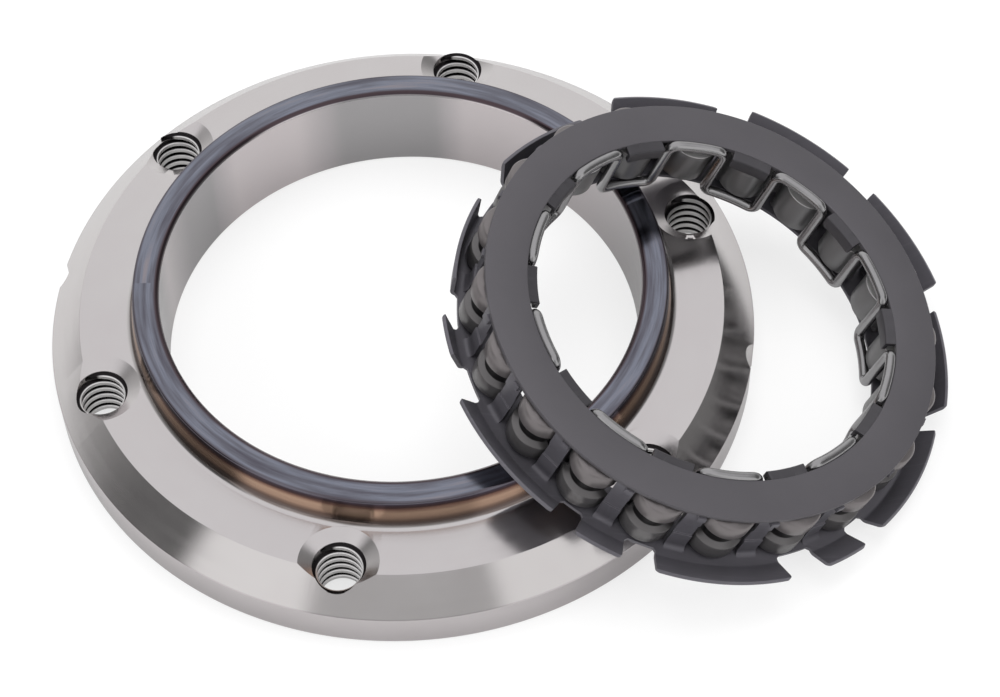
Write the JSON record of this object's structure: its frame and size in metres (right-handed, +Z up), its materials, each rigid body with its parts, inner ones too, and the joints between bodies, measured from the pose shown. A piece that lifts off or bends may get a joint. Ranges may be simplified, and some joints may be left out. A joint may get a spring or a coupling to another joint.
{
  "type": "starter clutch",
  "caption": "One-way starter clutch: a bolted steel outer race and a black sprag cage with drag tabs and a wave wire spring, leaning on the race.",
  "frame": {"origin": "on the race's bore axis, at the race's bottom face", "axes": "+Z up along the race's axis, towards its lip; +X towards the cage that leans on it"},
  "size_m": [0.1398, 0.11, 0.0347],
  "materials": {
    "race_steel": "fine turned",
    "cage_steel": "black oxide, satin",
    "sprag_steel": "tumbled, oiled",
    "spring_steel": "drawn wire"
  },
  "bodies": {
    "race": {"outer_race": "race_steel"},
    "cage": {"cage_shell": "cage_steel", "cover_ring": "cage_steel", "energizing_spring": "spring_steel"},
    "sprag_01": {"sprag_01": "sprag_steel"},
    "sprag_02": {"sprag_02": "sprag_steel"},
    "sprag_03": {"sprag_03": "sprag_steel"},
    "sprag_04": {"sprag_04": "sprag_steel"},
    "sprag_05": {"sprag_05": "sprag_steel"},
    "sprag_06": {"sprag_06": "sprag_steel"},
    "sprag_07": {"sprag_07": "sprag_steel"},
    "sprag_08": {"sprag_08": "sprag_steel"},
    "sprag_09": {"sprag_09": "sprag_steel"},
    "sprag_10": {"sprag_10": "sprag_steel"},
    "sprag_11": {"sprag_11": "sprag_steel"},
    "sprag_12": {"sprag_12": "sprag_steel"},
    "sprag_13": {"sprag_13": "sprag_steel"},
    "sprag_14": {"sprag_14": "sprag_steel"},
    "sprag_15": {"sprag_15": "sprag_steel"},
    "sprag_16": {"sprag_16": "sprag_steel"},
    "sprag_17": {"sprag_17": "sprag_steel"},
    "sprag_18": {"sprag_18": "sprag_steel"},
    "sprag_19": {"sprag_19": "sprag_steel"},
    "sprag_20": {"sprag_20": "sprag_steel"}
  },
  "joints": [
    {"name": "cage_lift", "type": "slide", "parent": "race", "child": "cage", "axis": [0.3047, -0.0856, 0.9486], "range_m": [0, 0.06]},
    {"name": "sprag_01_rock", "type": "hinge", "parent": "cage", "child": "sprag_01", "pos_m": [0.07495, 0.00017, 0.00929], "axis": [0.3047, -0.0856, 0.9486], "range_deg": [0, 9], "stiffness_Nm_per_rad": 0.02, "springref_deg": -11.46},
    {"name": "sprag_02_rock", "type": "hinge", "parent": "cage", "child": "sprag_02", "pos_m": [0.07029, 0.00902, 0.01159], "axis": [0.3047, -0.0856, 0.9486], "range_deg": [0, 9]},
    {"name": "sprag_03_rock", "type": "hinge", "parent": "cage", "child": "sprag_03", "pos_m": [0.0632, 0.01585, 0.01448], "axis": [0.3047, -0.0856, 0.9486], "range_deg": [0, 9]},
    {"name": "sprag_04_rock", "type": "hinge", "parent": "cage", "child": "sprag_04", "pos_m": [0.05438, 0.02, 0.01769], "axis": [0.3047, -0.0856, 0.9486], "range_deg": [0, 9]},
    {"name": "sprag_05_rock", "type": "hinge", "parent": "cage", "child": "sprag_05", "pos_m": [0.04469, 0.02106, 0.0209], "axis": [0.3047, -0.0856, 0.9486], "range_deg": [0, 9]},
    {"name": "sprag_06_rock", "type": "hinge", "parent": "cage", "child": "sprag_06", "pos_m": [0.03508, 0.01892, 0.02379], "axis": [0.3047, -0.0856, 0.9486], "range_deg": [0, 9]},
    {"name": "sprag_07_rock", "type": "hinge", "parent": "cage", "child": "sprag_07", "pos_m": [0.02649, 0.0138, 0.02609], "axis": [0.3047, -0.0856, 0.9486], "range_deg": [0, 9]},
    {"name": "sprag_08_rock", "type": "hinge", "parent": "cage", "child": "sprag_08", "pos_m": [0.01976, 0.00619, 0.02756], "axis": [0.3047, -0.0856, 0.9486], "range_deg": [0, 9]},
    {"name": "sprag_09_rock", "type": "hinge", "parent": "cage", "child": "sprag_09", "pos_m": [0.01555, -0.00316, 0.02807], "axis": [0.3047, -0.0856, 0.9486], "range_deg": [0, 9]},
    {"name": "sprag_10_rock", "type": "hinge", "parent": "cage", "child": "sprag_10", "pos_m": [0.01427, -0.01333, 0.02756], "axis": [0.3047, -0.0856, 0.9486], "range_deg": [0, 9]},
    {"name": "sprag_11_rock", "type": "hinge", "parent": "cage", "child": "sprag_11", "pos_m": [0.01605, -0.02332, 0.02609], "axis": [0.3047, -0.0856, 0.9486], "range_deg": [0, 9]},
    {"name": "sprag_12_rock", "type": "hinge", "parent": "cage", "child": "sprag_12", "pos_m": [0.02072, -0.03217, 0.02379], "axis": [0.3047, -0.0856, 0.9486], "range_deg": [0, 9]},
    {"name": "sprag_13_rock", "type": "hinge", "parent": "cage", "child": "sprag_13", "pos_m": [0.02781, -0.039, 0.0209], "axis": [0.3047, -0.0856, 0.9486], "range_deg": [0, 9]},
    {"name": "sprag_14_rock", "type": "hinge", "parent": "cage", "child": "sprag_14", "pos_m": [0.03663, -0.04315, 0.01769], "axis": [0.3047, -0.0856, 0.9486], "range_deg": [0, 9]},
    {"name": "sprag_15_rock", "type": "hinge", "parent": "cage", "child": "sprag_15", "pos_m": [0.04632, -0.04421, 0.01448], "axis": [0.3047, -0.0856, 0.9486], "range_deg": [0, 9]},
    {"name": "sprag_16_rock", "type": "hinge", "parent": "cage", "child": "sprag_16", "pos_m": [0.05593, -0.04207, 0.01159], "axis": [0.3047, -0.0856, 0.9486], "range_deg": [0, 9]},
    {"name": "sprag_17_rock", "type": "hinge", "parent": "cage", "child": "sprag_17", "pos_m": [0.06452, -0.03695, 0.00929], "axis": [0.3047, -0.0856, 0.9486], "range_deg": [0, 9]},
    {"name": "sprag_18_rock", "type": "hinge", "parent": "cage", "child": "sprag_18", "pos_m": [0.07125, -0.02934, 0.00782], "axis": [0.3047, -0.0856, 0.9486], "range_deg": [0, 9]},
    {"name": "sprag_19_rock", "type": "hinge", "parent": "cage", "child": "sprag_19", "pos_m": [0.07546, -0.01999, 0.00731], "axis": [0.3047, -0.0856, 0.9486], "range_deg": [0, 9]},
    {"name": "sprag_20_rock", "type": "hinge", "parent": "cage", "child": "sprag_20", "pos_m": [0.07673, -0.00983, 0.00782], "axis": [0.3047, -0.0856, 0.9486], "range_deg": [0, 9]}
  ],
  "couplings": [
    {"joint": "sprag_02_rock", "follows": "sprag_01_rock", "ratio": 1},
    {"joint": "sprag_03_rock", "follows": "sprag_01_rock", "ratio": 1},
    {"joint": "sprag_04_rock", "follows": "sprag_01_rock", "ratio": 1},
    {"joint": "sprag_05_rock", "follows": "sprag_01_rock", "ratio": 1},
    {"joint": "sprag_06_rock", "follows": "sprag_01_rock", "ratio": 1},
    {"joint": "sprag_07_rock", "follows": "sprag_01_rock", "ratio": 1},
    {"joint": "sprag_08_rock", "follows": "sprag_01_rock", "ratio": 1},
    {"joint": "sprag_09_rock", "follows": "sprag_01_rock", "ratio": 1},
    {"joint": "sprag_10_rock", "follows": "sprag_01_rock", "ratio": 1},
    {"joint": "sprag_11_rock", "follows": "sprag_01_rock", "ratio": 1},
    {"joint": "sprag_12_rock", "follows": "sprag_01_rock", "ratio": 1},
    {"joint": "sprag_13_rock", "follows": "sprag_01_rock", "ratio": 1},
    {"joint": "sprag_14_rock", "follows": "sprag_01_rock", "ratio": 1},
    {"joint": "sprag_15_rock", "follows": "sprag_01_rock", "ratio": 1},
    {"joint": "sprag_16_rock", "follows": "sprag_01_rock", "ratio": 1},
    {"joint": "sprag_17_rock", "follows": "sprag_01_rock", "ratio": 1},
    {"joint": "sprag_18_rock", "follows": "sprag_01_rock", "ratio": 1},
    {"joint": "sprag_19_rock", "follows": "sprag_01_rock", "ratio": 1},
    {"joint": "sprag_20_rock", "follows": "sprag_01_rock", "ratio": 1}
  ]
}
